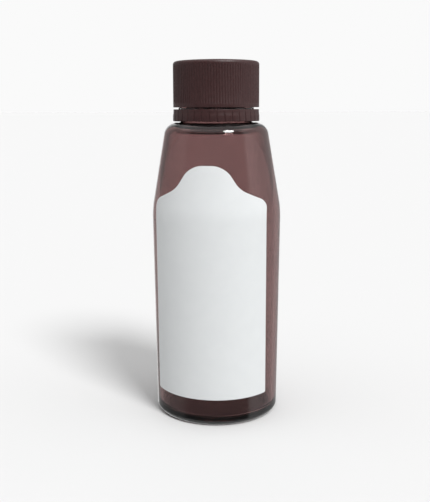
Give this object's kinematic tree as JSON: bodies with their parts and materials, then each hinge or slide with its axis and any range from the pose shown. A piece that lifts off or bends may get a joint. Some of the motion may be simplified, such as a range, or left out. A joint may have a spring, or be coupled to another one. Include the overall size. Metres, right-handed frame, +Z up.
{
  "type": "glass soda bottle",
  "caption": "Wide-mouth amber glass bottle with tapered shoulder, ribbed screw cap, loose tamper ring and blank wrap-round paper label.",
  "frame": {"origin": "middle of the base, on the surface the bottle stands on", "axes": "+Z up along the bottle's axis, -Y towards the middle of the label"},
  "size_m": [0.0626, 0.0627, 0.1718],
  "materials": {
    "amber_glass": "clear, fire-polished, red-brown",
    "label_paper": "uncoated white label paper, blank",
    "cap_plastic": "moulded, matt, very dark brown",
    "liner_foam": "foamed sheet, white"
  },
  "bodies": {
    "bottle": {"glass_bottle": "amber_glass", "front_label": "label_paper"},
    "seal": {"cap_liner": "liner_foam"},
    "cap": {"cap_shell": "cap_plastic"},
    "ring": {"tamper_band": "cap_plastic", "band_flaps": "cap_plastic", "break_ties": "cap_plastic"}
  },
  "joints": [
    {"name": "cap_rise", "type": "slide", "parent": "bottle", "child": "seal", "axis": [0, 0, 1], "range_m": [0, 0.0201]},
    {"name": "cap_turn", "type": "hinge", "parent": "seal", "child": "cap", "pos_m": [0, 0, 0.1605], "axis": [0, 0, 1], "range_deg": [0, 720]},
    {"name": "ring_turn", "type": "hinge", "parent": "bottle", "child": "ring", "pos_m": [0, 0, 0.146], "axis": [0, 0, 1], "continuous": true}
  ],
  "couplings": [
    {"joint": "cap_rise", "follows": "cap_turn", "m_per_rad": 0.0015915}
  ]
}
